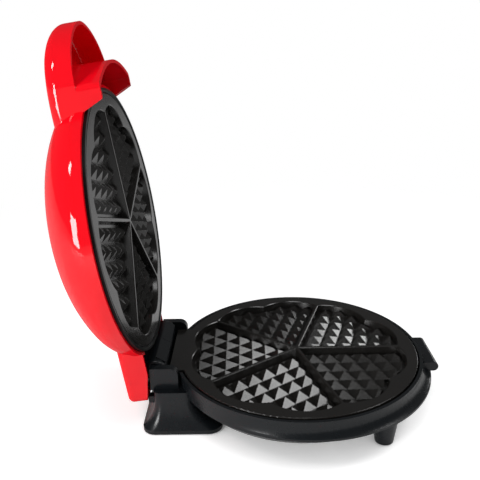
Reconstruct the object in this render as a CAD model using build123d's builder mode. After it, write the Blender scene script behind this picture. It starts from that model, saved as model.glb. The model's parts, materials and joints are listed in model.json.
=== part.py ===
"""Heart waffle maker: a black base with a cast plate, and a red domed lid with the same plate, on one hinge.

Lengths are millimetres. +X is the right-hand side seen from the hinge, -Y is the handle side, +Z is up.
Everything is drawn with the lid closed and the plates round the Z axis. The lid's pieces are then turned open.
"""

import os
from math import atan2, cos, degrees, pi, radians, sin, sqrt, tan

from build123d import *

# Main sizes
PLATE_R = 103.0          # radius of the baking plates' flange
HINGE_BEHIND = 17.4      # hinge axis behind the plate's edge
FACE_Z = 45.0            # top face of the lower plate above the table
PLATE_GAP = 1.0          # between the two plate faces when the lid is closed
OPEN_ANGLE = 98.0        # how far the lid stands open
HINGE_Z = FACE_Z + PLATE_GAP / 2
LID_FACE_Z = FACE_Z + PLATE_GAP
HINGE_Y = PLATE_R + HINGE_BEHIND

# Baking plates
FLANGE_THICK = 3.0
FLANGE_ROUND = 0.7
RECESS_DEPTH = 7.4
FLOOR_THICK = 3.0
HEARTS = 5
LOBE_EDGE = 8.9          # flat flange left outside the hearts
LOBE_SHARE = 0.593       # distance of a lobe's middle from the plate's middle, as a share of the hearts' reach
LOBE_SPREAD = 19.0       # angle of a lobe from its heart's axis
RIB_TOP = 2.9            # width of a rib at the plate's face
WALL_DRAFT = 12.0
MOUTH_CHAMFER = 0.6
MOUTH_SLOPE = 45.0
POINT_SIDE = 14.1        # side of the four-sided points' diamond base
POINT_HEIGHT = 4.8
POINT_PLINTH = 0.15
POINT_MARGIN = 2.2       # flat floor between the points and the lobes' wall
CUP_WALL = 3.2
TONGUE_W = 72.0          # width of the lower plate's flange towards the hinge
LOBE_OUT = LOBE_SHARE * (PLATE_R - LOBE_EDGE)
LOBE_R = PLATE_R - LOBE_EDGE - LOBE_OUT
CUP_R = LOBE_OUT + LOBE_R + CUP_WALL
CASTING_DEPTH = RECESS_DEPTH + FLOOR_THICK
HALF_SECTOR = 180 / HEARTS

# Plate fixing, heater and reflector
SCREW_R = 1.9
SCREW_HEAD_R = 3.8
SCREW_HEAD = 2.2
SCREW_CLEAR = 0.1
SCREW_GRIP = 4.0         # thickness held under a screw head
SCREW_BITE = 6.5         # length in the far piece
SCREW_SLOT_LENGTH = 4.4
SCREW_SLOT_WIDTH = 0.9
PLATE_BOSS_R = 5.0
PLATE_BOSS_LENGTH = 8.2
PLATE_BOSS_CIRCLE = PLATE_R - 25.0
PLATE_BOSSES = 4
HEATER_R = PLATE_R - 43.0   # radius of the heater's ring
HEATER_TUBE = 3.5
HEATER_BEND = 12.0
HEATER_LEG_X = 9.0
HEATER_LEG_END = PLATE_R - 19.0
HEATER_SINK = 1.0        # how far the tube sits in the plate's back
TERMINAL_R = 1.5
TERMINAL_LENGTH = 9.0
SEAT_GAP = 0.2           # a round or loose piece from what it lies against
REFLECTOR_R = PLATE_R - 15.0
REFLECTOR_SHEET = 0.8
REFLECTOR_RIM = 4.0
REFLECTOR_EYE = 13.0
REFLECTOR_NOTCH_DEEP = 10.0
REFLECTOR_NOTCH = 2 * (HEATER_LEG_X + HEATER_TUBE + 2.0)

# Base shell
RIM_CLEAR = 1.4          # ring gap round the plate's flange
WALL = 2.6
RIM_DROP = 0.9           # rim top below the plate's face
RIM_FLAT = 3.0
WAIST_SHARE = 0.18       # how much of the flare the wall has reached half way down
TONGUE_CLEAR = 0.4
TONGUE_NOTCH = 15.6      # length of the rim's notch under the plate's tongue
SIDE_HEIGHT = 12.6       # height of the side wall down to its lip
LIP_FLARE = 3.3          # how much wider the lip is than the rim
LIP_SHIFT = 4.5          # how far the lip's circle is moved towards the handle
LIP_EDGE = 1.8
BOWL_R = PLATE_R - 8.0
BOWL_Z = 17.0            # underside of the bowl above the table
RIM_R = PLATE_R + RIM_CLEAR + WALL
LIP_R = RIM_R + LIP_FLARE
RIM_Z = FACE_Z - RIM_DROP
LIP_Z = RIM_Z - SIDE_HEIGHT
BOWL_TOP_Z = LIP_Z - LIP_EDGE

# Hinge
PIN_R = 1.75
PIN_CLEAR = 0.05
PIN_END = 1.2            # skin left over the pin's blind end
PIN_SHORT = 0.4          # how far its other end lies in its hole
BUSH_R = 3.4
BUSH_LENGTH = 12.0
BARREL_R = 9.2
FACET_R = 11.0           # reach of the barrel's flat-faced strip from the pin
FACET_FROM = 6.0         # the strip's two edges with the lid open, as angles from upright towards the handle
FACET_TO = 58.0
BARREL_HALF = 37.8
BARREL_ROUND = 2.0
WEB_FRONT = 6.0
SEAM_WIDTH = 0.5
BARREL_BORE = 2.6
EAR_CLEAR = 0.5          # between the barrel's ends and the ears
EAR_THICK = 6.9
EAR_R = 6.2              # height of the ears above the pin
EAR_FRONT = 20.0         # reach of an ear towards the handle
EAR_BACK = 3.0           # reach of an ear behind the pin
EAR_ROUND = 7.0
STOP_GAP = 0.3           # between the open lid and the stops on the leg
PRESS = 0.005
HINGE_CLEAR = 0.6        # between the turning barrel and what it passes
STOP_X = 41.0
STOP_W = 6.0
STOP_TALL = 6.0
EAR_IN = BARREL_HALF + EAR_CLEAR
EAR_OUT = EAR_IN + EAR_THICK

# Rear leg, as half widths, front and back at three heights
LEG_TOP_Z = FACE_Z - 11.4
LEG_TOP = (52.2, HINGE_Y - 30.4, HINGE_Y + 0.6)
LEG_MID_Z = 14.0
LEG_MID = (57.0, HINGE_Y - 39.9, HINGE_Y + 2.2)
LEG_FLARE_Z = 4.2
LEG_FOOT = (61.6, HINGE_Y - 55.4, HINGE_Y + 10.1)
LEG_CORNER = (6.0, 8.0, 11.0)
LEG_WALL = 2.8

# Feet
PAD_THICK = 2.0
PAD_PROUD = 1.0
PAD_R = 6.0
PAD_ROUND = 0.5
FRONT_FOOT_X = PLATE_R - 32.0
FRONT_FOOT_Y = 39.5 - PLATE_R
FRONT_FOOT_R = 7.4
FRONT_FOOT_TOP_R = 11.5
PILLAR_R = 7.5

REAR_PAD_X = 48.0
REAR_PAD_Y = HINGE_Y - 22.4
FOOT_FLOOR_Z = 8.0
COVER_SHEET = 4.2
COVER_HEAD_DEEP = 2.4
COVER_SCREW_X = 47.0
COVER_SCREW_IN = 12.5
COVER_BOSS_R = 4.6
COVER_CLEAR = 0.3
COVER_TOP_Z = PAD_PROUD + COVER_SHEET

# Front lip
LIP_BAR_HALF = 22.0
LIP_BAR_REACH = PLATE_R + 15.6
LIP_BAR_Z = FACE_Z - 4.5
LIP_BAR_THICK = 8.0
LIP_BAR_ROOT = PLATE_R + 1.0
LIP_BAR_ROUND = 0.49     # corner radius as a share of the bar's thickness

# Mains inlet and wiring
GLAND_R = 4.6
GLAND_FLANGE_R = 6.2
GLAND_BORE = 3.0
GLAND_Z = 12.6
GLAND_PROUD = 5.0
GLAND_INSIDE = 9.0
GLAND_FLANGE = 1.8
GLAND_FACE_Y = HINGE_Y + 6.6
GLAND_BOSS_R = 6.9
BLOCK_SIZE = (34.0, 16.0, 12.0)
BLOCK_Y = HINGE_Y - 23.4
BLOCK_TOP_Z = COVER_TOP_Z + BLOCK_SIZE[2]
FUSE_SIZE = (14.0, 7.0, 5.0)
WIRE_R = 1.4
WIRE_BEND = 4.0
WIRE_SLOT = 9.6          # length of the liner's slot for the wires
THERMOSTAT_R = 9.0
THERMOSTAT_TALL = 6.5

# Lid shell
LID_OVERHANG = 6.6       # how far the lid's rim reaches past the plates
LID_RIM_R = PLATE_R + LID_OVERHANG
LID_RIM_Z = FACE_Z + 2.6
RIM_BAND = 6.0
LID_WALL = 2.6
HANDLE_HALF = 53.6
TONGUE_Y = -PLATE_R - 10.0   # where the grip starts to round in plan
TONGUE_NOSE = -PLATE_R - 53.0
TONGUE_RIM_Z = FACE_Z + 4.0
BLOCK_CORNER_Y = -PLATE_R - 9.0
BLOCK_NOSE = -PLATE_R - 22.8
BLOCK_RIM_Z = FACE_Z - 12.6
BASE_CLEAR = 2.0         # between the handle's skirt and the base
GRIP_ROUND = 9.0
TAB_HALF = 48.2
TAB_TOP_Z = FACE_Z + 25.2
TAB_BACK = HINGE_Y + 21.9
TAB_LOW_Z = FACE_Z + 4.2
TAB_BACK_LOW_Z = FACE_Z + 9.5
TAB_ROUND = 5.0

TAB_FRONT = HINGE_Y - 34.4
TAB_WALL = 2.2
HOOD_BACK = 43.0 - PLATE_R
NOSE_POWER = 1.8         # 2 is an ellipse, less is more pointed
NOSE_STEPS = 6
BLOCK_ROUND = 5.0
BLOCK_LAP = 1.0          # how far the block runs up into the grip
CROWN_AXIS_Z = FACE_Z - 97.0
# Dome, as share of the rim's radius and height above the plate's face
DOME = ((0.99, 9.2), (0.982, 14.5), (0.944, 22.0), (0.862, 30.2), (0.739, 38.7), (0.575, 45.6), (0.31, 49.9), (0.0, 51.0))
# Middle line of the hood's top, as distance inwards from the plate's edge and height above the plate's face
CROWN = ((45.0, 34.8), (28.0, 35.4), (12.0, 35.4), (-1.0, 34.9), (-16.0, 33.4), (-29.0, 30.8), (-40.0, 26.9), (-55.0, 19.6))

DOME_TOP_Z = FACE_Z + DOME[-1][1]

# Lid liner
LINER_CLEAR = 0.3
LINER_WALL = 2.4
LINER_FACE_Z = LID_FACE_Z - 0.6
LINER_LEDGE = 1.4        # flat ring between the plate and the liner's lip
LINER_FLOOR_Z = LID_FACE_Z + CASTING_DEPTH + PLATE_BOSS_LENGTH + REFLECTOR_SHEET
LINER_FLOOR_R = PLATE_R - 6.5
LINER_RIM_TALL = 6.0
LINER_SEAT_R = PLATE_R - 4.0
TAIL_HALF = 33.0
TAIL_Z = FACE_Z + 12.0
TAIL_FRONT = HINGE_Y - 26.4
TAIL_BACK = HINGE_Y + 17.6
TAIL_TOP_Z = TAIL_Z + LINER_WALL
LINER_TOP_Z = LINER_FACE_Z + LINER_RIM_TALL
LINER_SCREW_X = (-26.0, -9.0, 9.0, 26.0)
LINER_SCREW_Y = HINGE_Y + 12.6

# Pilot lamps
LENS_R = 3.4
LENS_Y = 33.0 - PLATE_R
LENS_X = 9.0
LENS_SEAT_Z = FACE_Z + 33.0
LENS_TOP_Z = DOME_TOP_Z - 6.2
LENS_ROUND = 1.2
HOLDER_DEEP = 6.0
HOLDER_WALL = 1.4
HOLDER_CUP = 4.0

UPRIGHT = (Align.CENTER, Align.CENTER, Align.MIN)


def on_axis(z):
    """A level plane at height z, centred on the plates."""
    return Plane.XY.offset(z)


# Cutting tool for one heart: its axis is +Y, its face is at z = 0 and it hangs down
def rib_edge(width):
    """Where a rib's two side lines meet on the heart's axis, for ribs of this width."""
    return width / 2 / sin(radians(HALF_SECTOR))


def heart_outline(inset):
    """A heart between two ribs, drawn in by inset from its outline at the plate's face."""
    tip = rib_edge(RIB_TOP) + inset / sin(radians(HALF_SECTOR))
    reach = PLATE_R / cos(radians(HALF_SECTOR))
    with BuildSketch() as outline:
        with PolarLocations(LOBE_OUT, 1, start_angle=90 + LOBE_SPREAD):
            Circle(LOBE_R - inset)
        with PolarLocations(LOBE_OUT, 1, start_angle=90 - LOBE_SPREAD):
            Circle(LOBE_R - inset)
        Circle(LOBE_OUT)
        with BuildLine():
            Polyline(
                (0, tip),
                (reach * sin(radians(HALF_SECTOR)), tip + reach * cos(radians(HALF_SECTOR))),
                (-reach * sin(radians(HALF_SECTOR)), tip + reach * cos(radians(HALF_SECTOR))),
                close=True,
            )
        make_face(mode=Mode.INTERSECT)
    return outline.sketch


def saw_profile():
    """A row of teeth with their valleys at height 0, measured from a rib's foot line."""
    pitch = POINT_SIDE * sin(radians(2 * HALF_SECTOR))
    foot = RIB_TOP / 2 + RECESS_DEPTH * tan(radians(WALL_DRAFT))
    teeth = int(PLATE_R / pitch) + 1
    points = [(foot - pitch, -FLOOR_THICK), (foot - pitch, 0)]
    for tooth in range(-1, teeth):
        points.append((foot + (tooth + 0.5) * pitch, POINT_HEIGHT))
        points.append((foot + (tooth + 1) * pitch, 0))
    points.append((foot + teeth * pitch, -FLOOR_THICK))
    with BuildSketch() as profile:
        with BuildLine():
            Polyline(*points, close=True)
        make_face()
    return profile.sketch


turn = radians(HALF_SECTOR)
valley_z = POINT_PLINTH - RECESS_DEPTH
right_saw = Plane(origin=(0, 0, valley_z), x_dir=(-cos(turn), sin(turn), 0), z_dir=(sin(turn), cos(turn), 0))
left_saw = Plane(origin=(0, 0, valley_z), x_dir=(cos(turn), sin(turn), 0), z_dir=(sin(turn), -cos(turn), 0))

teeth = saw_profile()
points_outline = heart_outline(RECESS_DEPTH * tan(radians(WALL_DRAFT)) + POINT_MARGIN)
with BuildPart() as heart_points:
    with BuildSketch(right_saw):
        add(teeth)
    extrude(amount=PLATE_R, both=True)
    with BuildSketch(left_saw):
        add(teeth)
    extrude(amount=PLATE_R, both=True, mode=Mode.INTERSECT)
    with BuildSketch(on_axis(-CASTING_DEPTH)):
        add(points_outline)
    extrude(amount=CASTING_DEPTH, mode=Mode.INTERSECT)

mouth_outline = heart_outline(0)
with BuildPart() as heart_tool:
    with BuildSketch(on_axis(-MOUTH_CHAMFER)):
        add(mouth_outline)
    extrude(amount=-(RECESS_DEPTH - MOUTH_CHAMFER), taper=WALL_DRAFT)
    with BuildSketch(on_axis(-MOUTH_CHAMFER)):
        add(mouth_outline)
    extrude(amount=2 * MOUTH_CHAMFER, taper=-MOUTH_SLOPE)
    add(heart_points.part, mode=Mode.SUBTRACT)


# Heater: a ring with both ends turned out to the hinge, at z = 0
def heater_ring(tube, leg_end):
    """The heater's tube, with its two legs ending at leg_end."""
    bend_x = HEATER_LEG_X + HEATER_BEND
    bend_y = sqrt((HEATER_R + HEATER_BEND) ** 2 - bend_x**2)
    meet = degrees(atan2(bend_y, bend_x))
    with BuildPart() as ring:
        with BuildLine() as run:
            Line((HEATER_LEG_X, leg_end), (HEATER_LEG_X, bend_y))
            CenterArc((bend_x, bend_y), HEATER_BEND, 180, meet)
            CenterArc((0, 0), HEATER_R, meet, -180 - 2 * meet)
            CenterArc((-bend_x, bend_y), HEATER_BEND, -meet, meet)
            Line((-HEATER_LEG_X, bend_y), (-HEATER_LEG_X, leg_end))
        with BuildSketch(Plane(origin=(HEATER_LEG_X, leg_end, 0), z_dir=(0, -1, 0))):
            Circle(tube)
        sweep(path=run.wires()[0])
    return ring.part


def boss_places():
    """The places of the plate's fixing bosses."""
    return PolarLocations(PLATE_BOSS_CIRCLE, PLATE_BOSSES, start_angle=180 / PLATE_BOSSES)


HEATER_Z = -CASTING_DEPTH - HEATER_TUBE + HEATER_SINK
BOSS_END_Z = -CASTING_DEPTH - PLATE_BOSS_LENGTH

# One plate, with its face at z = 0 and its back below
groove = heater_ring(HEATER_TUBE + SEAT_GAP, HEATER_LEG_END).moved(Location((0, 0, HEATER_Z)))
with BuildPart() as plate_blank:
    with BuildSketch():
        Circle(PLATE_R)
    extrude(amount=-FLANGE_THICK)
    fillet(plate_blank.edges(), FLANGE_ROUND)
    with BuildSketch(on_axis(-FLANGE_ROUND)):
        Circle(CUP_R)
    extrude(amount=FLANGE_ROUND - CASTING_DEPTH)
    with BuildSketch(on_axis(-CASTING_DEPTH)):
        with boss_places():
            Circle(PLATE_BOSS_R)
    extrude(amount=-PLATE_BOSS_LENGTH)
    with BuildSketch(on_axis(BOSS_END_Z)):
        with boss_places():
            Circle(SCREW_R + SCREW_CLEAR)
    extrude(amount=PLATE_BOSS_LENGTH, mode=Mode.SUBTRACT)
    add(groove, mode=Mode.SUBTRACT)
    for heart in range(HEARTS):
        add(heart_tool.part.rotate(Axis.Z, heart * 2 * HALF_SECTOR), mode=Mode.SUBTRACT)

# The same plate's heater, with a terminal pin on each end
tube = heater_ring(HEATER_TUBE, HEATER_LEG_END).moved(Location((0, 0, HEATER_Z)))
with BuildPart() as heater_blank:
    add(tube)
    with BuildSketch(Plane(origin=(0, HEATER_LEG_END, HEATER_Z), x_dir=(1, 0, 0), z_dir=(0, 1, 0))):
        with Locations((HEATER_LEG_X, 0), (-HEATER_LEG_X, 0)):
            Circle(TERMINAL_R)
    extrude(amount=TERMINAL_LENGTH)

# The heat reflector behind the heater, held between the bosses and what carries the plate
with BuildPart() as reflector_blank:
    with BuildSketch(on_axis(BOSS_END_Z)):
        Circle(REFLECTOR_R)
    extrude(amount=-REFLECTOR_SHEET)
    with BuildSketch(on_axis(BOSS_END_Z)):
        Circle(REFLECTOR_R)
        Circle(REFLECTOR_R - REFLECTOR_SHEET, mode=Mode.SUBTRACT)
    extrude(amount=REFLECTOR_RIM)
    with BuildSketch(on_axis(BOSS_END_Z + REFLECTOR_RIM)):
        with boss_places():
            Circle(SCREW_R + SCREW_CLEAR)
        Circle(REFLECTOR_EYE)
        with Locations((0, REFLECTOR_R)):
            Rectangle(REFLECTOR_NOTCH, 2 * REFLECTOR_NOTCH_DEEP)
    extrude(amount=-REFLECTOR_RIM - REFLECTOR_SHEET, mode=Mode.SUBTRACT)

# Lower plate, with its flat tongue towards the hinge
TONGUE_ROOT = sqrt(PLATE_R**2 - (TONGUE_W / 2) ** 2) - FLANGE_ROUND
TONGUE_END = HINGE_Y - FACET_R - HINGE_CLEAR
with BuildPart() as lower_plate:
    add(plate_blank.part.moved(Location((0, 0, FACE_Z))))
    with BuildSketch(on_axis(FACE_Z)):
        with Locations((0, (TONGUE_ROOT + TONGUE_END) / 2)):
            Rectangle(TONGUE_W, TONGUE_END - TONGUE_ROOT)
    extrude(amount=-FLANGE_THICK)

with BuildPart() as lower_heater:
    add(heater_blank.part.moved(Location((0, 0, FACE_Z))))

with BuildPart() as lower_reflector:
    add(reflector_blank.part.moved(Location((0, 0, FACE_Z))))

# Base shell
REFLECTOR_UNDER_Z = FACE_Z + BOSS_END_Z - REFLECTOR_SHEET
COUNTERBORE = REFLECTOR_UNDER_Z - BOWL_Z - SCREW_GRIP
SCREW_UNDER_Z = BOWL_Z + COUNTERBORE


def bowl(inset, top_z, floor_z):
    """The bowl of the base, drawn in by inset from its outside."""
    with BuildPart() as body:
        with BuildSketch(on_axis(top_z)):
            Circle(RIM_R - inset)
        extrude(amount=RIM_Z - RIM_FLAT - top_z)
        with BuildSketch(on_axis(RIM_Z - RIM_FLAT)):
            Circle(RIM_R - inset)
        with BuildSketch(on_axis((RIM_Z - RIM_FLAT + LIP_Z) / 2)):
            with Locations((0, -LIP_SHIFT * WAIST_SHARE)):
                Circle(RIM_R + LIP_FLARE * WAIST_SHARE - inset)
        with BuildSketch(on_axis(LIP_Z)):
            with Locations((0, -LIP_SHIFT)):
                Circle(LIP_R - inset)
        loft()
        with BuildSketch(on_axis(LIP_Z)):
            with Locations((0, -LIP_SHIFT)):
                Circle(LIP_R - inset)
        extrude(amount=-LIP_EDGE)
        with BuildSketch(on_axis(BOWL_TOP_Z)):
            with Locations((0, -LIP_SHIFT)):
                Circle(LIP_R - inset)
        with BuildSketch(on_axis(floor_z)):
            Circle(BOWL_R - inset)
        loft()
    return body.part


def leg_section(z, size, corner, inset):
    """One level section of the rear leg, given as half width, front and back."""
    half, front, back = size
    with BuildSketch(on_axis(z)) as section:
        with Locations((0, (front + back) / 2)):
            RectangleRounded(2 * (half - inset), back - front - 2 * inset, corner - inset)
    return section.sketch


def leg(inset, top_z):
    """The rear leg, flared at its foot, drawn in by inset from its outside."""
    top = leg_section(top_z, LEG_TOP, LEG_CORNER[0], inset)
    middle = leg_section(LEG_MID_Z, LEG_MID, LEG_CORNER[1], inset)
    flare = leg_section(LEG_FLARE_Z, LEG_FOOT, LEG_CORNER[2], inset)
    foot = leg_section(PAD_PROUD, LEG_FOOT, LEG_CORNER[2], inset)
    with BuildPart() as body:
        add([top, middle, flare])
        loft()
        add(foot)
        extrude(amount=LEG_FLARE_Z - PAD_PROUD)
    return body.part


def foot_places(z=0):
    """The places of the two front feet, at height z."""
    return Locations((-FRONT_FOOT_X, FRONT_FOOT_Y, z), (FRONT_FOOT_X, FRONT_FOOT_Y, z))


def rear_pad_places():
    """The places of the two rear pads."""
    return Locations((-REAR_PAD_X, REAR_PAD_Y), (REAR_PAD_X, REAR_PAD_Y))


def cover_screw_places():
    """The places of the four bottom cover screws."""
    front = LEG_FOOT[1] + COVER_SCREW_IN
    back = LEG_FOOT[2] - COVER_SCREW_IN
    return Locations(*[(x, y) for x in (-COVER_SCREW_X, COVER_SCREW_X) for y in (front, back)])


def ear_outline():
    """Side view of one hinge ear, with its front corner rounded."""
    with BuildSketch() as outline:
        with BuildLine():
            Polyline(
                (HINGE_Y - EAR_FRONT, LEG_TOP_Z - WALL / 2),
                (HINGE_Y - EAR_FRONT, HINGE_Z + EAR_R),
                (HINGE_Y + EAR_BACK, HINGE_Z + EAR_R),
                (HINGE_Y + EAR_BACK, LEG_TOP_Z - WALL / 2),
                close=True,
            )
        make_face()
        corners = outline.vertices().group_by(Axis.Y)[-1].sort_by(Axis.X)
        fillet(corners[0], EAR_ROUND)
        fillet(corners[-1], EAR_BACK / 2)
    return outline.sketch


def turned(y, z, angle):
    """Where a point of the closed lid lies once the lid is turned up by an angle."""
    turn = radians(angle)
    out = y - HINGE_Y
    up = z - HINGE_Z
    return HINGE_Y + out * cos(turn) + up * sin(turn), HINGE_Z - out * sin(turn) + up * cos(turn)


# The open lid rests its back edge on two stops behind the leg
STOP_FACE = turned(TAB_BACK, TAB_BACK_LOW_Z, OPEN_ANGLE)[0] - STOP_GAP
STOP_LOW_Z = turned(TAB_BACK, TAB_BACK_LOW_Z, OPEN_ANGLE)[1] - STOP_TALL / 2

bowl_outside = bowl(0, RIM_Z, BOWL_Z)
bowl_inside = bowl(WALL, RIM_Z + WALL, BOWL_Z + WALL)
leg_outside = leg(0, LEG_TOP_Z)
leg_inside = leg(LEG_WALL, LEG_TOP_Z - LEG_WALL)
leg_middle = leg(LEG_WALL / 2, LEG_TOP_Z - LEG_WALL / 2)
ear = ear_outline()

with BuildPart() as leg_bosses:
    with BuildSketch(on_axis(COVER_TOP_Z)):
        with cover_screw_places():
            Circle(COVER_BOSS_R)
    extrude(amount=LEG_TOP_Z - COVER_TOP_Z)
    add(leg_middle, mode=Mode.INTERSECT)

with BuildPart() as base_shell:
    add(bowl_outside)
    add(leg_outside)
    with foot_places(PAD_PROUD):
        Cone(FRONT_FOOT_R, FRONT_FOOT_TOP_R, LIP_Z - PAD_PROUD, align=UPRIGHT)
    with BuildSketch(Plane.YZ.offset(-LIP_BAR_HALF)):
        with Locations((-(LIP_BAR_ROOT + LIP_BAR_REACH) / 2, LIP_BAR_Z - LIP_BAR_THICK / 2)):
            RectangleRounded(LIP_BAR_REACH - LIP_BAR_ROOT, LIP_BAR_THICK, LIP_BAR_ROUND * LIP_BAR_THICK)
    extrude(amount=2 * LIP_BAR_HALF)
    add(bowl_inside, mode=Mode.SUBTRACT)
    add(leg_inside, mode=Mode.SUBTRACT)
    add(leg_bosses.part)
    with BuildSketch(on_axis(COVER_TOP_Z)):
        with cover_screw_places():
            Circle(SCREW_R + SCREW_CLEAR)
    extrude(amount=SCREW_BITE + SCREW_GRIP, mode=Mode.SUBTRACT)
    with foot_places(FOOT_FLOOR_Z):
        Cone(FRONT_FOOT_R - WALL, FRONT_FOOT_TOP_R - WALL, LIP_Z - FOOT_FLOOR_Z, align=UPRIGHT, mode=Mode.SUBTRACT)
    with BuildSketch(on_axis(BOWL_Z)):
        with boss_places():
            Circle(PILLAR_R)
    extrude(amount=REFLECTOR_UNDER_Z - BOWL_Z)
    with BuildSketch(on_axis(BOWL_Z)):
        with boss_places():
            Circle(SCREW_HEAD_R + SCREW_CLEAR)
    extrude(amount=COUNTERBORE, mode=Mode.SUBTRACT)
    with BuildSketch(on_axis(SCREW_UNDER_Z)):
        with boss_places():
            Circle(SCREW_R + SCREW_CLEAR)
    extrude(amount=SCREW_GRIP, mode=Mode.SUBTRACT)
    with BuildSketch(on_axis(PAD_PROUD)):
        with foot_places():
            Circle(PAD_R + SCREW_CLEAR)
    extrude(amount=PAD_THICK - PAD_PROUD, mode=Mode.SUBTRACT)
    with BuildSketch(on_axis(RIM_Z)):
        with Locations((0, HINGE_Y - EAR_FRONT)):
            Rectangle(TONGUE_W + 2 * RIM_CLEAR, TONGUE_NOTCH)
    extrude(amount=FACE_Z - FLANGE_THICK - TONGUE_CLEAR - RIM_Z, mode=Mode.SUBTRACT)
    for side in (-1, 1):
        with BuildSketch(Plane.YZ.offset(side * EAR_IN)):
            add(ear)
        extrude(amount=side * EAR_THICK)
        with BuildSketch(on_axis(STOP_LOW_Z)):
            with Locations((side * STOP_X, (LEG_TOP[2] - LEG_WALL / 2 + STOP_FACE) / 2)):
                Rectangle(STOP_W, STOP_FACE - LEG_TOP[2] + LEG_WALL / 2)
        extrude(amount=STOP_TALL)
    with BuildSketch(Plane.YZ.offset(-EAR_OUT + PIN_END)):
        with Locations((HINGE_Y, HINGE_Z)):
            Circle(PIN_R + PRESS)
    extrude(amount=2 * EAR_OUT, mode=Mode.SUBTRACT)
    with BuildSketch(Plane(origin=(0, GLAND_FACE_Y, GLAND_Z), x_dir=(1, 0, 0), z_dir=(0, 1, 0))):
        Circle(GLAND_BOSS_R)
    extrude(amount=LEG_MID[2] - LEG_WALL - GLAND_FACE_Y)
    with BuildSketch(Plane(origin=(0, GLAND_FACE_Y, GLAND_Z), x_dir=(1, 0, 0), z_dir=(0, 1, 0))):
        Circle(GLAND_R + PRESS)
    extrude(amount=-GLAND_INSIDE, mode=Mode.SUBTRACT)
    with BuildSketch(Plane(origin=(0, GLAND_FACE_Y, GLAND_Z), x_dir=(1, 0, 0), z_dir=(0, 1, 0))):
        Circle(GLAND_BOSS_R)
    extrude(amount=GLAND_FACE_Y - LEG_MID[2], mode=Mode.SUBTRACT)


# Root body's small pieces
def screws(places, head_z, length, up):
    """Pan-headed screws whose heads bear at head_z, pointing up (1) or down (-1)."""
    with BuildPart() as fasteners:
        with BuildSketch(on_axis(head_z)):
            with places():
                Circle(SCREW_R)
        extrude(amount=up * length)
        with BuildSketch(on_axis(head_z)):
            with places():
                Circle(SCREW_HEAD_R)
        extrude(amount=-up * SCREW_HEAD)
        with BuildSketch(on_axis(head_z - up * SCREW_HEAD)):
            with places():
                Rectangle(SCREW_SLOT_LENGTH, SCREW_SLOT_WIDTH)
                Rectangle(SCREW_SLOT_WIDTH, SCREW_SLOT_LENGTH)
        extrude(amount=up * SCREW_HEAD / 2, mode=Mode.SUBTRACT)
    return fasteners.part


cover_outline = leg(LEG_WALL + COVER_CLEAR, LEG_TOP_Z - LEG_WALL)
cover_top = leg_section(COVER_TOP_Z, LEG_FOOT, LEG_CORNER[2], 0)
with BuildPart() as bottom_cover:
    add(cover_outline)
    add(cover_top)
    extrude(amount=LEG_TOP_Z - COVER_TOP_Z, mode=Mode.SUBTRACT)
    with BuildSketch(on_axis(PAD_PROUD)):
        with cover_screw_places():
            Circle(SCREW_R + SCREW_CLEAR)
    extrude(amount=COVER_SHEET, mode=Mode.SUBTRACT)
    with BuildSketch(on_axis(PAD_PROUD)):
        with cover_screw_places():
            Circle(SCREW_HEAD_R + SCREW_CLEAR)
        with rear_pad_places():
            Circle(PAD_R + SCREW_CLEAR)
    extrude(amount=COVER_HEAD_DEEP, mode=Mode.SUBTRACT)

four_screws = screws(boss_places, SCREW_UNDER_Z, SCREW_GRIP + REFLECTOR_SHEET + SCREW_BITE, 1)
with BuildPart() as lower_plate_screws:
    add(four_screws)

COVER_HEAD_Z = PAD_PROUD + COVER_HEAD_DEEP
four_screws = screws(cover_screw_places, COVER_HEAD_Z, COVER_TOP_Z - COVER_HEAD_Z + SCREW_BITE, 1)
with BuildPart() as cover_screws:
    add(four_screws)

with BuildPart() as front_foot_pads:
    with BuildSketch():
        with foot_places():
            Circle(PAD_R)
    extrude(amount=PAD_THICK)
    fillet(front_foot_pads.edges().group_by(Axis.Z)[0], PAD_ROUND)

with BuildPart() as rear_foot_pads:
    with BuildSketch():
        with rear_pad_places():
            Circle(PAD_R)
    extrude(amount=PAD_PROUD + COVER_HEAD_DEEP)
    fillet(rear_foot_pads.edges().group_by(Axis.Z)[0], PAD_ROUND)

# The cord's bush, pushed through a round boss on the back of the leg
behind = Plane(origin=(0, GLAND_FACE_Y, GLAND_Z), x_dir=(1, 0, 0), z_dir=(0, 1, 0))
with BuildPart() as cord_gland:
    with BuildSketch(behind):
        Circle(GLAND_R)
    extrude(amount=GLAND_PROUD)
    with BuildSketch(behind):
        Circle(GLAND_R)
    extrude(amount=-GLAND_INSIDE)
    with BuildSketch(behind):
        Circle(GLAND_FLANGE_R)
    extrude(amount=GLAND_FLANGE)
    with BuildSketch(behind.offset(GLAND_PROUD)):
        Circle(GLAND_BORE)
    extrude(amount=-GLAND_PROUD - GLAND_INSIDE, mode=Mode.SUBTRACT)

with BuildPart() as terminal_block:
    with BuildSketch(on_axis(COVER_TOP_Z)):
        with Locations((0, BLOCK_Y)):
            Rectangle(BLOCK_SIZE[0], BLOCK_SIZE[1])
    extrude(amount=BLOCK_SIZE[2])
    with BuildSketch(on_axis(BLOCK_TOP_Z)):
        with Locations(*[(x, BLOCK_Y) for x in (-HEATER_LEG_X, 0, HEATER_LEG_X)]):
            Circle(SCREW_R)
    extrude(amount=-SCREW_HEAD, mode=Mode.SUBTRACT)

with BuildPart() as thermal_fuse:
    with BuildSketch(on_axis(FACE_Z - CASTING_DEPTH)):
        Rectangle(FUSE_SIZE[0], FUSE_SIZE[1])
    extrude(amount=-FUSE_SIZE[2])
    with BuildSketch(Plane.YZ.offset(-FUSE_SIZE[0])):
        with Locations((0, FACE_Z - CASTING_DEPTH - FUSE_SIZE[2] / 2)):
            Circle(TERMINAL_R / 2)
    extrude(amount=2 * FUSE_SIZE[0])

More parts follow.
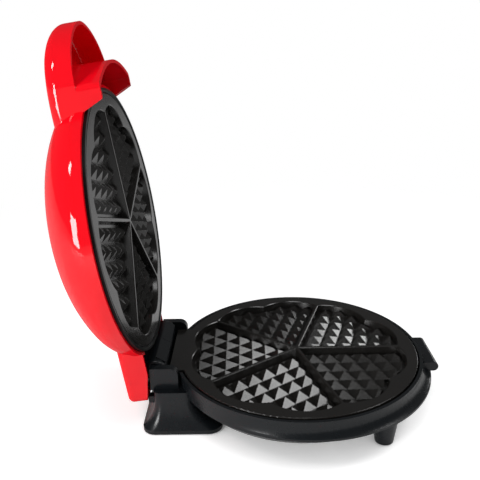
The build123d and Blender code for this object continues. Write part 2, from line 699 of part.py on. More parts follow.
WIRE_Y = HEATER_LEG_END + TERMINAL_LENGTH - WIRE_R
with BuildPart() as base_wires:
    with BuildSketch(on_axis(BLOCK_TOP_Z)):
        with Locations((-HEATER_LEG_X, WIRE_Y), (HEATER_LEG_X, WIRE_Y)):
            Circle(WIRE_R)
    extrude(amount=FACE_Z + HEATER_Z - TERMINAL_R - BLOCK_TOP_Z)

with BuildPart() as hinge_pin:
    with BuildSketch(Plane.YZ.offset(-EAR_OUT + PIN_END)):
        with Locations((HINGE_Y, HINGE_Z)):
            Circle(PIN_R)
    extrude(amount=2 * EAR_OUT - PIN_END - PIN_SHORT)


# Lid shell, drawn closed
def dome_line(inset):
    """Points from the dome's foot to its top, moved inwards by inset."""
    line = []
    for n, (share, z) in enumerate(DOME):
        before = DOME[max(n - 1, 0)]
        after = DOME[min(n + 1, len(DOME) - 1)]
        run = LID_RIM_R * (after[0] - before[0])
        rise = after[1] - before[1]
        if n == 0:
            run = 0
        if n == len(DOME) - 1:
            rise = 0
        length = sqrt(run**2 + rise**2)
        line.append((LID_RIM_R * share - inset * rise / length, FACE_Z + z + inset * run / length))
    return line


def dome(inset, low_z, step_z):
    """The dome with its rim band, from low_z up; the band ends at step_z."""
    line = dome_line(inset)
    rim = LID_RIM_R - inset
    with BuildPart() as body:
        with BuildSketch(Plane.XZ):
            with BuildLine():
                Polyline((0, line[-1][1]), (0, low_z), (rim, low_z), (rim, step_z), (line[0][0], step_z), line[0])
                Spline(*line)
            make_face()
        revolve(axis=Axis.Z)
    return body.part


def tongue_plan(inset):
    """Plan of the whole hood, rounded to its nose."""
    half = HANDLE_HALF - inset
    nose = TONGUE_NOSE + inset
    side = []
    for step in range(NOSE_STEPS):
        angle = pi / 2 * step / NOSE_STEPS
        across = half * cos(angle) ** (2 / NOSE_POWER)
        along = TONGUE_Y + (nose - TONGUE_Y) * sin(angle) ** (2 / NOSE_POWER)
        side.append((across, along))
    other = [(-x, y) for x, y in reversed(side)]
    with BuildSketch() as plan:
        with BuildLine():
            Polyline(other[-1], (-half, HOOD_BACK), (half, HOOD_BACK), side[0])
            Spline(*side, (0, nose), *other)
        make_face()
    return plan.sketch


def block_plan(inset):
    """Plan of the hood's deeper part, next to the dome."""
    half = HANDLE_HALF - inset
    corner = BLOCK_CORNER_Y + inset
    with BuildSketch() as plan:
        with BuildLine():
            Polyline((-half, corner), (-half, HOOD_BACK), (half, HOOD_BACK), (half, corner))
            ThreePointArc((half, corner), (0, BLOCK_NOSE + inset), (-half, corner))
        make_face()
        fillet(plan.vertices().group_by(Axis.Y)[0], BLOCK_ROUND - inset)
    return plan.sketch


def crown(inset):
    """Everything under the hood's crowned top."""
    top = [(inwards - PLATE_R, 2 * CROWN_AXIS_Z - FACE_Z - z + inset) for inwards, z in CROWN]
    with BuildPart() as body:
        with BuildSketch(Plane.YZ):
            with BuildLine():
                Polyline(top[0], (top[0][0], CROWN_AXIS_Z), (top[-1][0], CROWN_AXIS_Z), top[-1])
                Spline(*top)
            make_face()
        revolve(axis=Axis((0, 0, CROWN_AXIS_Z), (0, 1, 0)))
    return body.part


def hood(inset, low_z, block_low_z):
    """The hood: a rounded grip with a deeper block next to the dome."""
    grip = tongue_plan(inset)
    block = block_plan(inset)
    under_crown = crown(inset)
    with BuildPart() as body:
        with BuildSketch(on_axis(low_z)):
            add(grip)
        extrude(amount=DOME_TOP_Z - low_z)
        add(under_crown, mode=Mode.INTERSECT)
        top = body.faces().sort_by(Axis.Z)[-1]
        fillet([e for e in top.edges() if e.center().Y < HOOD_BACK - BLOCK_LAP], GRIP_ROUND - inset)
        with BuildSketch(on_axis(block_low_z)):
            add(block)
        extrude(amount=low_z - block_low_z + BLOCK_LAP)
    return body.part


def tab(inset):
    """The box over the hinge, open below, drawn in by inset from its outside."""
    low = 0 if inset == 0 else TAB_LOW_Z - LID_RIM_Z + WALL
    with BuildPart() as body:
        with BuildSketch(Plane.YZ.offset(inset - TAB_HALF)):
            with BuildLine():
                Polyline(
                    (TAB_FRONT, TAB_LOW_Z - low),
                    (TAB_FRONT, TAB_TOP_Z - inset),
                    (TAB_BACK - inset, TAB_TOP_Z - inset),
                    (TAB_BACK - inset, TAB_BACK_LOW_Z - low),
                    (HINGE_Y - EAR_BACK, TAB_LOW_Z - low),
                    close=True,
                )
            make_face()
        extrude(amount=2 * (TAB_HALF - inset))
        back_top = body.edges().filter_by(Axis.X).sort_by(lambda e: e.center().Y + e.center().Z)[-1]
        fillet(back_top, TAB_ROUND - inset)
        uprights = body.edges().filter_by(Axis.Z).group_by(Axis.Y)[-1]
        fillet(uprights, TAB_ROUND - inset)
    return body.part


def liner_screw_places():
    """The places of the four screws through barrel, liner and lid shell."""
    return Locations(*[(x, LINER_SCREW_Y) for x in LINER_SCREW_X])


LOW_Z = BLOCK_RIM_Z - WALL
dome_outside = dome(0, LID_RIM_Z, LID_RIM_Z + RIM_BAND)
dome_inside = dome(LID_WALL, LID_RIM_Z - LID_WALL, LINER_TOP_Z + SEAT_GAP)
hood_outside = hood(0, TONGUE_RIM_Z, BLOCK_RIM_Z)
hood_inside = hood(LID_WALL, LOW_Z, LOW_Z - WALL)
tab_outside = tab(0)
tab_inside = tab(TAB_WALL)
block_outside = block_plan(0)
block_inside = block_plan(LID_WALL)

with BuildPart() as hood_hollow:
    add(hood_inside)
    with BuildSketch(on_axis(LOW_Z)):
        add(block_outside)
        add(block_inside, mode=Mode.SUBTRACT)
    extrude(amount=DOME_TOP_Z - LOW_Z, mode=Mode.SUBTRACT)
    add(dome_outside, mode=Mode.SUBTRACT)

# Room for the base inside the hood's skirt, as wide as the base is at each height
with BuildPart() as base_room:
    with BuildSketch(on_axis(LOW_Z)):
        with Locations((0, -LIP_SHIFT)):
            Circle(LIP_R + BASE_CLEAR)
    with BuildSketch(on_axis(LID_RIM_Z)):
        Circle(RIM_R + BASE_CLEAR)
    loft()

with BuildPart() as lid_bosses:
    with BuildSketch(on_axis(TAIL_TOP_Z)):
        with liner_screw_places():
            Circle(PLATE_BOSS_R)
            Circle(SCREW_R + SCREW_CLEAR, mode=Mode.SUBTRACT)
    extrude(amount=TAB_TOP_Z - LID_WALL / 2 - TAIL_TOP_Z)

with BuildPart() as lid_shell:
    add(dome_outside)
    add(hood_outside)
    add(tab_outside)
    add(dome_inside, mode=Mode.SUBTRACT)
    add(tab_inside, mode=Mode.SUBTRACT)
    add(hood_hollow.part, mode=Mode.SUBTRACT)
    add(base_room.part, mode=Mode.SUBTRACT)
    add(lid_bosses.part)
    with BuildSketch(on_axis(LENS_SEAT_Z)):
        with Locations((-LENS_X, LENS_Y), (LENS_X, LENS_Y)):
            Circle(LENS_R + SEAT_GAP)
    extrude(amount=DOME_TOP_Z - LENS_SEAT_Z, mode=Mode.SUBTRACT)

# The black liner closes the lid and carries its plate
with BuildPart() as lid_liner:
    with BuildSketch(Plane.XZ):
        with BuildLine():
            Polyline(
                (0, LINER_FLOOR_Z),
                (LINER_FLOOR_R, LINER_FLOOR_Z),
                (LINER_SEAT_R, LID_FACE_Z + FLANGE_THICK),
                (PLATE_R + LINER_CLEAR, LID_FACE_Z + FLANGE_THICK),
                (PLATE_R + LINER_CLEAR, LID_FACE_Z),
                (PLATE_R + LINER_CLEAR + LINER_LEDGE, LID_FACE_Z),
                (PLATE_R + LINER_CLEAR + LINER_LEDGE, LINER_FACE_Z),
                (LID_RIM_R - LID_WALL - LINER_CLEAR, LINER_FACE_Z),
                (LID_RIM_R - LID_WALL - LINER_CLEAR, LINER_TOP_Z),
                (LINER_SEAT_R + LINER_WALL, LINER_TOP_Z),
                (LINER_FLOOR_R + LINER_WALL, LINER_FLOOR_Z + LINER_WALL),
                (0, LINER_FLOOR_Z + LINER_WALL),
                close=True,
            )
        make_face()
    revolve(axis=Axis.Z)
    with BuildSketch(on_axis(TAIL_Z)):
        with Locations((0, (TAIL_FRONT + TAIL_BACK) / 2)):
            Rectangle(2 * TAIL_HALF, TAIL_BACK - TAIL_FRONT)
    extrude(amount=LINER_WALL)
    with BuildSketch(on_axis(TAIL_Z)):
        with liner_screw_places():
            Circle(SCREW_R + SCREW_CLEAR)
    extrude(amount=LINER_WALL, mode=Mode.SUBTRACT)
    with BuildSketch(on_axis(LINER_FLOOR_Z)):
        with boss_places():
            Circle(SCREW_R + SCREW_CLEAR)
        with Locations((0, WIRE_Y - LINER_WALL)):
            Rectangle(2 * (HEATER_LEG_X + WIRE_R + LINER_WALL), WIRE_SLOT)
    extrude(amount=LINER_WALL, mode=Mode.SUBTRACT)


def strip_corner(angle):
    """A corner of the barrel's flat strip; its angle is given for the open lid."""
    closed = radians(angle + OPEN_ANGLE)
    return HINGE_Y - FACET_R * sin(closed), HINGE_Z + FACET_R * cos(closed)


# The hinge barrel is screwed under the liner's tail
with BuildPart() as hinge_barrel:
    with BuildSketch(Plane.YZ.offset(-BARREL_HALF)):
        with Locations((HINGE_Y, HINGE_Z)):
            Circle(BARREL_R)
    extrude(amount=2 * BARREL_HALF)
    fillet(hinge_barrel.edges().filter_by(GeomType.CIRCLE), BARREL_ROUND)
    with BuildSketch(Plane.YZ.offset(-TAIL_HALF)):
        with BuildLine():
            Polyline((HINGE_Y, HINGE_Z), strip_corner(FACET_FROM), strip_corner(FACET_TO), close=True)
        make_face()
        with BuildLine():
            Polyline(
                (HINGE_Y - WEB_FRONT, HINGE_Z),
                (HINGE_Y - WEB_FRONT, TAIL_Z),
                (TAIL_BACK, TAIL_Z),
                (TAIL_BACK, TAIL_Z - LINER_WALL),
                (HINGE_Y + WEB_FRONT, TAIL_Z - LINER_WALL),
                (HINGE_Y + WEB_FRONT, HINGE_Z),
                close=True,
            )
        make_face()
    extrude(amount=2 * TAIL_HALF)
    with BuildSketch(Plane.YZ.offset(-SEAM_WIDTH / 2)):
        with Locations((HINGE_Y, HINGE_Z - FACET_R)):
            Rectangle(2 * FACET_R, 2 * FACET_R)
        with Locations((HINGE_Y, HINGE_Z)):
            Circle(BARREL_R, mode=Mode.SUBTRACT)
    extrude(amount=SEAM_WIDTH, mode=Mode.SUBTRACT)
    with BuildSketch(Plane.YZ.offset(-BARREL_HALF)):
        with Locations((HINGE_Y, HINGE_Z)):
            Circle(BARREL_BORE)
    extrude(amount=2 * BARREL_HALF, mode=Mode.SUBTRACT)
    for side in (-1, 1):
        with BuildSketch(Plane.YZ.offset(side * BARREL_HALF)):
            with Locations((HINGE_Y, HINGE_Z)):
                Circle(BUSH_R + PRESS)
        extrude(amount=-side * BUSH_LENGTH, mode=Mode.SUBTRACT)
    with BuildSketch(on_axis(TAIL_Z - LINER_WALL)):
        with liner_screw_places():
            Circle(SCREW_R + SCREW_CLEAR)
    extrude(amount=LINER_WALL, mode=Mode.SUBTRACT)

with BuildPart() as hinge_bushes:
    for side in (-1, 1):
        with BuildSketch(Plane.YZ.offset(side * BARREL_HALF)):
            with Locations((HINGE_Y, HINGE_Z)):
                Circle(BUSH_R)
                Circle(PIN_R + PIN_CLEAR, mode=Mode.SUBTRACT)
        extrude(amount=-side * BUSH_LENGTH)


def upper(piece):
    """A piece of the plate turned over into the lid."""
    return piece.part.mirror(Plane.XY).moved(Location((0, 0, LID_FACE_Z)))


turned_plate = upper(plate_blank)
with BuildPart() as upper_plate:
    add(turned_plate)

turned_heater = upper(heater_blank)
with BuildPart() as upper_heater:
    add(turned_heater)

turned_reflector = upper(reflector_blank)
with BuildPart() as upper_reflector:
    add(turned_reflector)

four_screws = screws(boss_places, LINER_FLOOR_Z + LINER_WALL, LINER_WALL + REFLECTOR_SHEET + SCREW_BITE, -1)
with BuildPart() as upper_plate_screws:
    add(four_screws)

four_screws = screws(liner_screw_places, TAIL_Z - LINER_WALL, 2 * LINER_WALL + SCREW_BITE, 1)
with BuildPart() as liner_screws:
    add(four_screws)

with BuildPart() as thermostat:
    with BuildSketch(on_axis(LID_FACE_Z + CASTING_DEPTH)):
        Circle(THERMOSTAT_R)
    extrude(amount=THERMOSTAT_TALL)
    with BuildSketch(on_axis(LID_FACE_Z + CASTING_DEPTH)):
        Rectangle(2 * THERMOSTAT_R + 4 * TERMINAL_R, 2 * TERMINAL_R)
    extrude(amount=TERMINAL_R)


# Pilot lamps: two light pipes standing on a holder on the liner's floor
def lens(side):
    """One light pipe with a rounded top."""
    with BuildPart() as pipe:
        with BuildSketch(on_axis(LENS_SEAT_Z)):
            with Locations((side * LENS_X, LENS_Y)):
                Circle(LENS_R)
        extrude(amount=LENS_TOP_Z - LENS_SEAT_Z)
        fillet(pipe.edges().group_by(Axis.Z)[-1], LENS_ROUND)
    return pipe.part


left_pipe = lens(-1)
with BuildPart() as power_lens:
    add(left_pipe)

right_pipe = lens(1)
with BuildPart() as ready_lens:
    add(right_pipe)

with BuildPart() as lamp_holder:
    with BuildSketch(on_axis(LINER_FLOOR_Z + LINER_WALL)):
        with Locations((0, LENS_Y)):
            Rectangle(2 * (LENS_X + LENS_R), HOLDER_DEEP)
    extrude(amount=LENS_SEAT_Z - LINER_FLOOR_Z - LINER_WALL)
    with BuildSketch(on_axis(LENS_SEAT_Z)):
        with Locations((-LENS_X, LENS_Y), (LENS_X, LENS_Y)):
            Circle(LENS_R + HOLDER_WALL)
            Circle(LENS_R + SEAT_GAP, mode=Mode.SUBTRACT)
    extrude(amount=HOLDER_CUP)

# Wires from the heater's ends over the liner's floor to the lamps
WIRE_FOOT_Z = LID_FACE_Z - HEATER_Z + TERMINAL_R
WIRE_RUN_Z = LINER_FLOOR_Z + LINER_WALL + WIRE_R
with BuildPart() as lid_wires:
    for side in (-1, 1):
        with BuildLine(Plane.YZ.offset(side * HEATER_LEG_X)):
            rise = Line((WIRE_Y, WIRE_FOOT_Z), (WIRE_Y, WIRE_RUN_Z - WIRE_BEND))
            bend = JernArc(rise @ 1, rise % 1, WIRE_BEND, 90)
            Line(bend @ 1, (LENS_Y + HOLDER_DEEP / 2, WIRE_RUN_Z))
        with BuildSketch(on_axis(WIRE_FOOT_Z)):
            with Locations((side * HEATER_LEG_X, WIRE_Y)):
                Circle(WIRE_R)
        sweep()


# Turn the lid open about the hinge
hinge_line = Axis((0, HINGE_Y, HINGE_Z), (1, 0, 0))

base_pieces = {
    "base_shell": base_shell,
    "bottom_cover": bottom_cover,
    "lower_plate": lower_plate,
    "lower_heater": lower_heater,
    "lower_reflector": lower_reflector,
    "lower_plate_screws": lower_plate_screws,
    "cover_screws": cover_screws,
    "front_foot_pads": front_foot_pads,
    "rear_foot_pads": rear_foot_pads,
    "cord_gland": cord_gland,
    "terminal_block": terminal_block,
    "thermal_fuse": thermal_fuse,
    "base_wires": base_wires,
    "hinge_pin": hinge_pin,
}
lid_pieces = {
    "lid_shell": lid_shell,
    "lid_liner": lid_liner,
    "hinge_barrel": hinge_barrel,
    "hinge_bushes": hinge_bushes,
    "upper_plate": upper_plate,
    "upper_heater": upper_heater,
    "upper_reflector": upper_reflector,
    "upper_plate_screws": upper_plate_screws,
    "liner_screws": liner_screws,
    "thermostat": thermostat,
    "power_lens": power_lens,
    "ready_lens": ready_lens,
    "lamp_holder": lamp_holder,
    "lid_wires": lid_wires,
}
for piece in lid_pieces.values():
    piece.part = piece.part.rotate(hinge_line, -OPEN_ANGLE)

# The middle of the whole thing's footprint goes to the origin
pieces = {**base_pieces, **lid_pieces}
extent = Compound([piece.part for piece in pieces.values()]).bounding_box()
to_origin = Location((-extent.center().X, -extent.center().Y, -extent.min.Z))
os.makedirs("parts", exist_ok=True)
for label, piece in pieces.items():
    piece.part = piece.part.moved(to_origin)
    piece.part.label = label
    export_step(piece.part, f"parts/{label}.step")
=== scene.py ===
"""Heart waffle maker: finishes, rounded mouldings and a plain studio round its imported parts."""

import json
from math import cos, pi, radians, sin

import bmesh
import bpy
from bpy.props import FloatProperty, FloatVectorProperty, IntProperty, PointerProperty
from mathutils import Matrix, Vector


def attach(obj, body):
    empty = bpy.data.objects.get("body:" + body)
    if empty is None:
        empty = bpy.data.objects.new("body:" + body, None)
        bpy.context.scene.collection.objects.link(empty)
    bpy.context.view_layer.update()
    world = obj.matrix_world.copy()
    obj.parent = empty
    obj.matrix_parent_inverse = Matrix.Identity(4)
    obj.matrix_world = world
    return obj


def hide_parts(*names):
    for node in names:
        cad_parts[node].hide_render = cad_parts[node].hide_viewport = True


bl_info = {
    "name": "Heart waffle maker",
    "version": (1, 0, 0),
    "blender": (4, 5, 0),
    "location": "View3D > Sidebar > Waffle maker",
    "description": "Dresses the packed parts of a heart waffle maker and sets up its studio",
    "category": "Object",
}

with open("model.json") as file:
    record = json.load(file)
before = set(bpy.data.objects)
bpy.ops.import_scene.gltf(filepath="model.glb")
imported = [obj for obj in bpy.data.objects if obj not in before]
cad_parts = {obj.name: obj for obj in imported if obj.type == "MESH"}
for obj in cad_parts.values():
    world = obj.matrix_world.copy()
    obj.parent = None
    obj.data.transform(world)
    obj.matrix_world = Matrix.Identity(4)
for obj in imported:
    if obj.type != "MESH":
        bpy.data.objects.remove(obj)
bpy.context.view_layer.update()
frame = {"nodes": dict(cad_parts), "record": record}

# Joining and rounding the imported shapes, in metres and radians
WELD = 2e-6
FLAT_ANGLE = radians(0.3)
CORNER_ANGLE = radians(28)
FLAT_WEIGHT = 90  # how much a large face sets the shading of its small neighbours

# Finishes
WHITE = (1.0, 1.0, 1.0)
BLACK = (0.0, 0.0, 0.0)
RUBBED = (0.12, 0.115, 0.11)  # the coating where it is rubbed
MOULD_GRAIN = 8e-6  # depth of a black moulding's grain, in metres

# The floor and the world; what is mirrored is the share of their white that a mirror sees
FLOOR_HALF = 6.0
FLOOR_GREYS = ((0.86, 0.86, 0.86), (0.88, 0.88, 0.88))
FLOOR_GLOW = 0.62
FLOOR_FADE = (0.3, 0.8)  # from the lit floor to plain white, in metres from its middle
FLOOR_MIRRORED = 0.2
PAINTED_SHADOW_REACH = 0.035  # how far from the object the painted contact shadow dims the floor's glow
PAINTED_SHADOW_OPEN = 0.55  # how open a point must be to glow in full, outside the painted contact shadow
WORLD_MIRRORED = 0.12
WORLD_LIGHT = 0.16

# Lamps: name, azimuth and elevation in degrees, distance, width and height in metres, how bright the face is
LAMP_AIM = Vector((0.0, 0.03, 0.12))
LAMPS = (
    ("lamp_high", 178, 68, 1.6, 0.62, 0.5, 5.5),
    ("lamp_left", 141, 8, 1.3, 0.42, 0.46, 18.0),
    ("lamp_left_high", 126, 48, 1.4, 0.16, 0.22, 20.0),
    ("lamp_right", -87, 49, 1.5, 0.5, 0.32, 10.5),
    ("lamp_right_low", -45, 11, 1.5, 0.32, 0.15, 9.0),
)

# The camera: the photograph's side and focal length in pixels, its place from the middle of the lower plate's top in
# metres, and its turn in degrees
PHOTO_SIDE = 480
PHOTO_FOCAL = 591.0
SENSOR = 36.0
NEAR_CLIP = 0.01
PLATE_R = 0.103
CAMERA_PLACE = Vector((-0.4629, 0.04095, 0.2611))
CAMERA_AZIMUTH = 0.87
CAMERA_ELEVATION = 19.1
CAMERA_ROLL = -1.29


# Finishes: sums of sockets, and the node trees that they are in
class Value:
    """A socket of a finish that can stand in a sum, which adds the maths nodes for it."""

    def __init__(self, finish, socket):
        self.finish = finish
        self.socket = socket

    def sum(self, operation, first, second):
        """A maths node on two numbers or sockets."""
        return self.finish.node("ShaderNodeMath", {"operation": operation}, first, second)

    def __add__(self, other):
        return self.sum("ADD", self, other)

    __radd__ = __add__

    def __mul__(self, other):
        return self.sum("MULTIPLY", self, other)

    __rmul__ = __mul__

    def __sub__(self, other):
        return self.sum("SUBTRACT", self, other)

    def __rsub__(self, other):
        return self.sum("SUBTRACT", other, self)

    def other(self, out):
        """Another output of the same node."""
        return Value(self.finish, self.socket.node.outputs[out])


class Finish:
    """The node tree of one material, or of the world."""

    def __init__(self, owner):
        owner.use_nodes = True
        self.owner = owner
        self.tree = owner.node_tree
        self.tree.nodes.clear()

    def node(self, kind, settings=None, *values, out=0, **named):
        """Adds a node: its settings first, then the values or links of its sockets."""
        made = self.tree.nodes.new(kind)
        for key, value in (settings or {}).items():
            if key == "stops":
                self.stops(made.color_ramp, value)
            else:
                setattr(made, key, value)
        sockets = list(enumerate(values)) + [(key.replace("_", " "), value) for key, value in named.items()]
        for key, value in sockets:
            if isinstance(value, Value):
                self.tree.links.new(value.socket, made.inputs[key])
            elif value is not None:
                made.inputs[key].default_value = value
        return Value(self, made.outputs[out]) if made.outputs else made

    @staticmethod
    def stops(ramp, stops):
        """Sets a ramp's stops, each a place and a colour."""
        while len(ramp.elements) < len(stops):
            ramp.elements.new(1.0)
        for element, (place, colour) in zip(ramp.elements, stops):
            element.position = place
            element.color = colour

    def place(self):
        """Where a point of the piece lies, in metres."""
        return self.node("ShaderNodeTexCoord", out="Object")

    def noise(self, scale, detail=2.0, rough=0.5):
        """A noise from 0 to 1 with this many waves to the metre."""
        sockets = {"Vector": self.place(), "Scale": scale, "Detail": detail, "Roughness": rough}
        return self.node("ShaderNodeTexNoise", None, out="Fac", **sockets)

    def specks(self, scale):
        """How far a point is from the middle of the nearest of this many specks to the metre."""
        return self.node("ShaderNodeTexVoronoi", None, Vector=self.place(), Scale=scale, out="Distance")

    def ramp(self, value, *stops):
        """A grey or colour that follows a value through stops."""
        return self.node("ShaderNodeValToRGB", {"stops": stops}, value)

    def between(self, value, low, high):
        """A number that runs from low to high as the value goes from 0 to 1."""
        return value * (high - low) + low

    def eased(self, value, low, high):
        """A number that eases from 0 to 1 as the value goes from low to high."""
        return self.node("ShaderNodeMapRange", {"interpolation_type": "SMOOTHSTEP"}, value, low, high)

    def mix(self, factor, first, second):
        """From the first colour to the second as the factor goes from 0 to 1."""
        not_colours = (None,) * 5
        return self.node("ShaderNodeMix", {"data_type": "RGBA"}, factor, *not_colours, first, second, out=2)

    def shades(self, factor, colour, dark, light):
        """A colour that varies from this much darker to this much lighter."""
        return self.mix(factor, shade(colour, dark), shade(colour, light))

    def rays(self, mirrored):
        """1 for what the camera sees itself or through glass, and mirrored for what a mirror sees."""
        camera = self.node("ShaderNodeLightPath", out="Is Camera Ray")
        return camera + camera.other("Is Transmission Ray") + camera.other("Is Glossy Ray") * mirrored

    def relief(self, height, depth, strength):
        """A normal pressed by a height from 0 to 1 that is depth metres deep."""
        return self.node("ShaderNodeBump", None, Height=height, Distance=depth, Strength=strength)

    def glow(self, strength):
        """White light that the surface gives off itself."""
        return self.node("ShaderNodeEmission", None, rgba(WHITE), strength)

    def surface(self, **sockets):
        """Ends the finish in one shader with these sockets."""
        shader = self.node("ShaderNodeBsdfPrincipled", None, **sockets)
        self.node("ShaderNodeOutputMaterial", None, shader)
        return self.owner


def finish(name):
    """An empty finish with this name."""
    return Finish(bpy.data.materials.new(name))


def rgba(colour):
    """A colour with its alpha."""
    return (*colour, 1.0)


def shade(colour, factor):
    """A colour made lighter or darker."""
    return rgba([min(1.0, c * factor) for c in colour])


def gloss_red(look):
    """Polished red moulding: deep colour under a clear skin, with the faint waviness of a large moulding."""
    f = finish("gloss_red")
    flow = f.noise(9.0, detail=3.0)
    skin = f.noise(420.0)
    return f.surface(
        Base_Color=f.shades(flow, look.lid_red, 0.88, 1.08),
        Roughness=f.between(f.noise(60.0, detail=4.0), 0.16, 0.24),
        Normal=f.relief(skin, depth=1.5e-6, strength=0.6),
        Specular_IOR_Level=0.0,
        Coat_Weight=0.4,
        Coat_Roughness=0.04,
        Coat_IOR=1.9,
    )


def moulded_black(name, colour, grain, rough, gloss):
    """Satin black moulding with a fine spark-worn grain."""
    f = finish(name)
    tone = f.noise(14.0, detail=4.0, rough=0.6)
    pitted = f.noise(grain, detail=3.0, rough=0.7)
    sheen = f.noise(45.0, detail=5.0, rough=0.6)
    return f.surface(
        Base_Color=f.shades(tone, colour, 0.8, 1.25),
        Roughness=f.between(sheen, rough - 0.07, rough + 0.07),
        Normal=f.relief(pitted, MOULD_GRAIN, strength=0.8),
        Specular_IOR_Level=gloss,
    )


def coating(look):
    """Dark non-stick coating over a casting: slight mottle, fine rubbed specks and a sprayed skin."""
    f = finish("plate_coating")
    mottle = f.noise(30.0, detail=5.0, rough=0.65)
    dark = f.shades(mottle, look.coating, 0.75, 1.2)
    speck = f.ramp(f.specks(1400.0), (0.0, rgba(WHITE)), (0.16, rgba(BLACK)))
    sprayed = f.noise(1800.0, detail=3.0, rough=0.7)
    return f.surface(
        Base_Color=f.mix(f.node("ShaderNodeRGBToBW", None, speck) * 0.3, dark, rgba(RUBBED)),
        Roughness=f.between(f.noise(80.0, detail=4.0), 0.17, 0.27),
        Normal=f.relief(sprayed, depth=5e-6, strength=0.7),
    )


def metal(name, colour, rough, scratch):
    """Bare or plated metal with fine marks."""
    f = finish(name)
    marks = f.noise(scratch, detail=6.0, rough=0.75)
    return f.surface(
        Base_Color=f.shades(marks, colour, 0.82, 1.1),
        Metallic=1.0,
        Roughness=f.between(marks, rough - 0.12, rough + 0.13),
        Normal=f.relief(marks, depth=2e-5, strength=0.5),
    )


def soft(name, colour, grain, rough):
    """Rubber, ceramic or sleeve: matt and slightly uneven."""
    f = finish(name)
    mottle = f.noise(grain, detail=5.0, rough=0.7)
    return f.surface(
        Base_Color=f.shades(mottle, colour, 0.75, 1.2),
        Roughness=f.between(mottle, rough - 0.08, rough + 0.07),
        Normal=f.relief(mottle, depth=6e-5, strength=0.7),
    )


def clear(name, colour):
    """Tinted clear light pipe, a little cloudy inside."""
    f = finish(name)
    cloud = f.noise(260.0, detail=3.0)
    return f.surface(
        Base_Color=f.shades(cloud, colour, 0.8, 1.2),
        Roughness=f.between(cloud, 0.08, 0.14),
        Transmission_Weight=0.35,
        Coat_Weight=1.0,
    )


# Shapes
def moulding(node, name, material, corner, steps):
    """A node's shape with its faces joined up and its edges rounded, which stands for the node."""
    shape = bmesh.new()
    shape.from_mesh(frame["nodes"][node].data)
    bmesh.ops.remove_doubles(shape, verts=shape.verts, dist=WELD)
    bmesh.ops.dissolve_limit(shape, angle_limit=FLAT_ANGLE, verts=shape.verts, edges=shape.edges)
    for face in shape.faces:
        face.smooth = True
    for edge in shape.edges:
        edge.smooth = edge.calc_face_angle(0.0) < CORNER_ANGLE
    piece = as_piece(shape, name, material)
    rounding = piece.modifiers.new("Rounded edges", "BEVEL")
    rounding.width = corner
    rounding.segments = steps
    rounding.limit_method = "ANGLE"
    rounding.angle_limit = CORNER_ANGLE
    rounding.miter_outer = "MITER_ARC"
    shading = piece.modifiers.new("Flat faces", "WEIGHTED_NORMAL")
    shading.weight = FLAT_WEIGHT
    shading.keep_sharp = True
    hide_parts(node)
    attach(piece, body_of(node))


def body_of(node):
    """The moving body that a node belongs to."""
    bodies = frame["record"]["behaviour"]["bodies"]
    return next(body for body, nodes in bodies.items() if node in nodes)


def as_piece(shape, name, material):
    """An object at the origin made from a bmesh."""
    mesh = bpy.data.meshes.new(name)
    shape.to_mesh(mesh)
    shape.free()
    piece = bpy.data.objects.new(name, mesh)
    piece.data.materials.append(material)
    bpy.context.scene.collection.objects.link(piece)
    return piece


def dress(material, *nodes):
    """Gives nodes that stay as they are their finish."""
    for node in nodes:
        data = frame["nodes"][node].data
        data.materials.clear()
        data.materials.append(material)


def colour_property(name, description, default):
    """A colour that a user can change."""
    return FloatVectorProperty(
        name=name, description=description, subtype="COLOR", size=3, default=default, min=0, max=1
    )


def edge_property(name, description, default):
    """The radius of rounded edges, which a user can change."""
    return FloatProperty(
        name=name, description=description, default=default, min=0.0001, max=0.001, unit="LENGTH"
    )


class WaffleLook(bpy.types.PropertyGroup):
    """Sizes and colours of the finishes."""

    lid_red: colour_property("Lid red", "Colour of the polished lid", (0.88, 0.003, 0.011))
    base_black: colour_property("Base black", "Colour of the base's moulding", (0.006, 0.0075, 0.009))
    liner_black: colour_property("Liner black", "Colour of the lid's liner", (0.008, 0.009, 0.009))
    coating: colour_property("Coating", "Colour of the plates' coating", (0.012, 0.011, 0.01))
    shell_edge: edge_property("Shell edge", "Rounding of the mouldings' edges", 0.0005)
    plate_edge: edge_property("Plate edge", "Rounding of the castings' edges", 0.00022)
    edge_steps: IntProperty(
        name="Edge steps", description="Segments of each rounded edge", default=2, min=1, max=4
    )


class WAFFLE_OT_lid(bpy.types.Operator):
    """Make the lid's red shell and its black liner"""

    bl_idname = "waffle.lid"
    bl_label = "Lid"

    def execute(self, context):
        look = context.scene.waffle_look
        moulding("lid_shell", "lid_skin", gloss_red(look), look.shell_edge, look.edge_steps)
        liner = moulded_black("liner_black", look.liner_black, grain=2600.0, rough=0.3, gloss=0.15)
        moulding("lid_liner", "liner_tray", liner, look.shell_edge, look.edge_steps)
        return {"FINISHED"}


class WAFFLE_OT_plates(bpy.types.Operator):
    """Make the two baking plates with their hearts and points"""

    bl_idname = "waffle.plates"
    bl_label = "Plates"

    def execute(self, context):
        look = context.scene.waffle_look
        coat = coating(look)
        for node in ("lower_plate", "upper_plate"):
            moulding(node, node + "_casting", coat, look.plate_edge, look.edge_steps)
        return {"FINISHED"}


class WAFFLE_OT_base(bpy.types.Operator):
    """Make the base's shell, cover, pads and cord bush"""

    bl_idname = "waffle.base"
    bl_label = "Base"

    def execute(self, context):
        look = context.scene.waffle_look
        black = moulded_black("base_black", look.base_black, grain=2200.0, rough=0.27, gloss=0.35)
        moulding("base_shell", "base_housing", black, look.shell_edge, look.edge_steps)
        moulding("bottom_cover", "bottom_plate", black, look.shell_edge, look.edge_steps)
        rubber = soft("pad_rubber", (0.02, 0.02, 0.02), grain=900.0, rough=0.75)
        dress(rubber, "front_foot_pads", "rear_foot_pads", "cord_gland")
        return {"FINISHED"}


